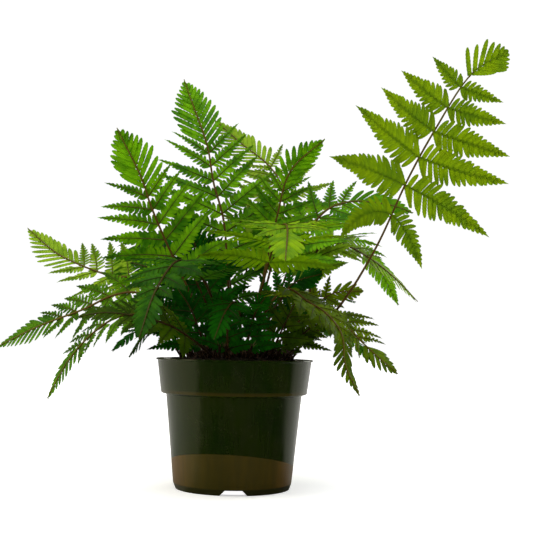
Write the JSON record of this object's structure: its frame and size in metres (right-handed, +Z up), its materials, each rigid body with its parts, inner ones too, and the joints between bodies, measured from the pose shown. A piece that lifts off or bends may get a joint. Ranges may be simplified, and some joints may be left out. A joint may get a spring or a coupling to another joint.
{
  "type": "potted autumn fern",
  "caption": "Autumn fern in a round nursery pot: arching fronds of cut leaflets on brown stalks that rise from its soil.",
  "frame": {"origin": "on the axis of the round pot, at the plane that it stands on", "axes": "+Z up along the pot's axis; +X to the right of the plant's front, towards its longest frond; -Y towards whoever looks at its front"},
  "size_m": [0.4853, 0.421, 0.41],
  "materials": {
    "pot": "dark olive moulded plastic, softly glossy",
    "soil": "damp potting mix of peat and shredded bark, rough",
    "frond": "living fern frond, semi-gloss green leaflets on a brown stalk"
  },
  "bodies": {
    "root": {"frond_back_left": "frond", "frond_back_long": "frond", "frond_back_low": "frond", "frond_back_pale": "frond", "frond_back_right": "frond", "frond_centre_tall": "frond", "frond_front_left": "frond", "frond_front_light": "frond", "frond_front_olive": "frond", "frond_front_right": "frond", "frond_inner_back": "frond", "frond_inner_back_left": "frond", "frond_inner_back_right": "frond", "frond_inner_front": "frond", "frond_inner_left": "frond", "frond_inner_right": "frond", "frond_inner_upright": "frond", "frond_left_back": "frond", "frond_left_drooping": "frond", "frond_left_low": "frond", "frond_left_upper": "frond", "frond_low_centre": "frond", "frond_low_front": "frond", "frond_low_back_left": "frond", "frond_low_back_right": "frond", "frond_low_left": "frond", "frond_low_right": "frond", "frond_low_side_left": "frond", "frond_low_side_right": "frond", "frond_right_light": "frond", "frond_right_long": "frond", "frond_right_low": "frond", "frond_right_mid": "frond", "frond_rim_left": "frond", "frond_side_left": "frond", "frond_side_right": "frond", "frond_top_right": "frond", "nursery_pot": "pot", "potting_soil": "soil"}
  },
  "joints": []
}
